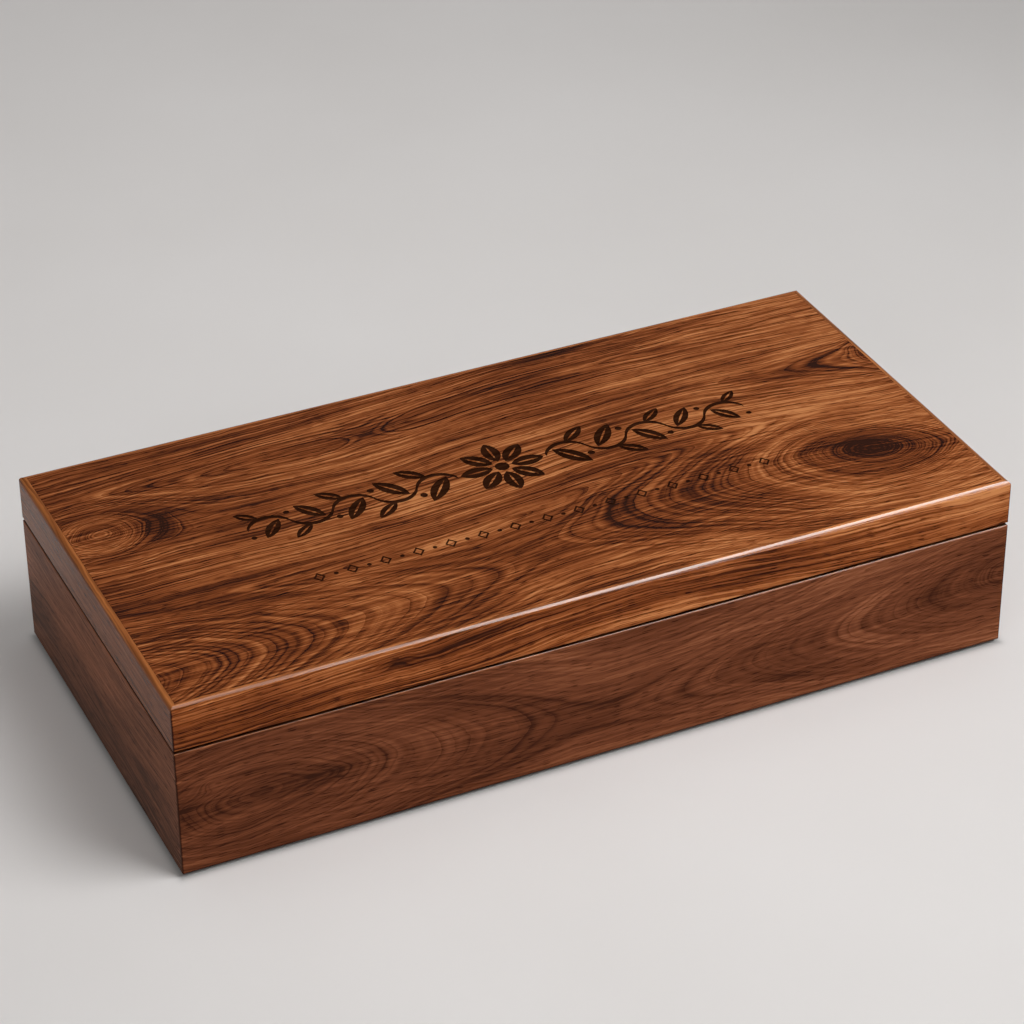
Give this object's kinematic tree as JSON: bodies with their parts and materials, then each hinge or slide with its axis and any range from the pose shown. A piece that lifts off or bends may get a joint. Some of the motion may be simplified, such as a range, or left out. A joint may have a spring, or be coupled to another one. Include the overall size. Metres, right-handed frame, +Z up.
{
  "type": "wooden gift box",
  "caption": "Flat hinged keepsake box in glossy figured walnut, lined inside, with an engraved vine ornament on the lid, for papers, cards and small gifts.",
  "frame": {"origin": "middle of the underside, on the plane the box stands on", "axes": "+X to the right along the box, +Y from the front to the hinged back, +Z up"},
  "size_m": [0.32, 0.1606, 0.07],
  "materials": {
    "lacquered_walnut": "gloss lacquer over figured walnut",
    "face_veneer": "gloss lacquer over figured walnut veneer",
    "panel_board": "fine fibre board, unfinished",
    "tongue_wood": "bare beech ply",
    "suede_lining": "short-napped suede cloth",
    "baize": "matt felt",
    "hinge_brass": "brushed and lacquered",
    "screw_brass": "turned and lacquered",
    "magnet_nickel": "nickel plate",
    "clear_bumper": "clear soft silicone"
  },
  "bodies": {
    "base": {"base_front_wall": "lacquered_walnut", "base_back_wall": "lacquered_walnut", "base_left_wall": "lacquered_walnut", "base_right_wall": "lacquered_walnut", "base_bottom_panel": "panel_board", "base_corner_tongues": "tongue_wood", "underside_baize": "baize", "base_liner_front": "suede_lining", "base_liner_back": "suede_lining", "base_liner_left": "suede_lining", "base_liner_right": "suede_lining", "base_floor_pad": "suede_lining", "base_magnets": "magnet_nickel", "rim_bumpers": "clear_bumper", "hinge_left_lower_leaf": "hinge_brass", "hinge_left_lower_screws": "screw_brass", "hinge_left_pin": "hinge_brass", "hinge_right_lower_leaf": "hinge_brass", "hinge_right_lower_screws": "screw_brass", "hinge_right_pin": "hinge_brass"},
    "lid": {"lid_front_rail": "lacquered_walnut", "lid_back_rail": "lacquered_walnut", "lid_left_rail": "lacquered_walnut", "lid_right_rail": "lacquered_walnut", "lid_core_panel": "panel_board", "lid_face_veneer": "face_veneer", "lid_corner_tongues": "tongue_wood", "lid_pad": "suede_lining", "lid_magnets": "magnet_nickel", "hinge_left_upper_leaf": "hinge_brass", "hinge_left_upper_screws": "screw_brass", "hinge_right_upper_leaf": "hinge_brass", "hinge_right_upper_screws": "screw_brass"}
  },
  "joints": [
    {"name": "lid_hinge", "type": "hinge", "parent": "base", "child": "lid", "pos_m": [0, 0.079, 0.052], "axis": [-1, 0, 0], "range_deg": [0, 95]}
  ]
}
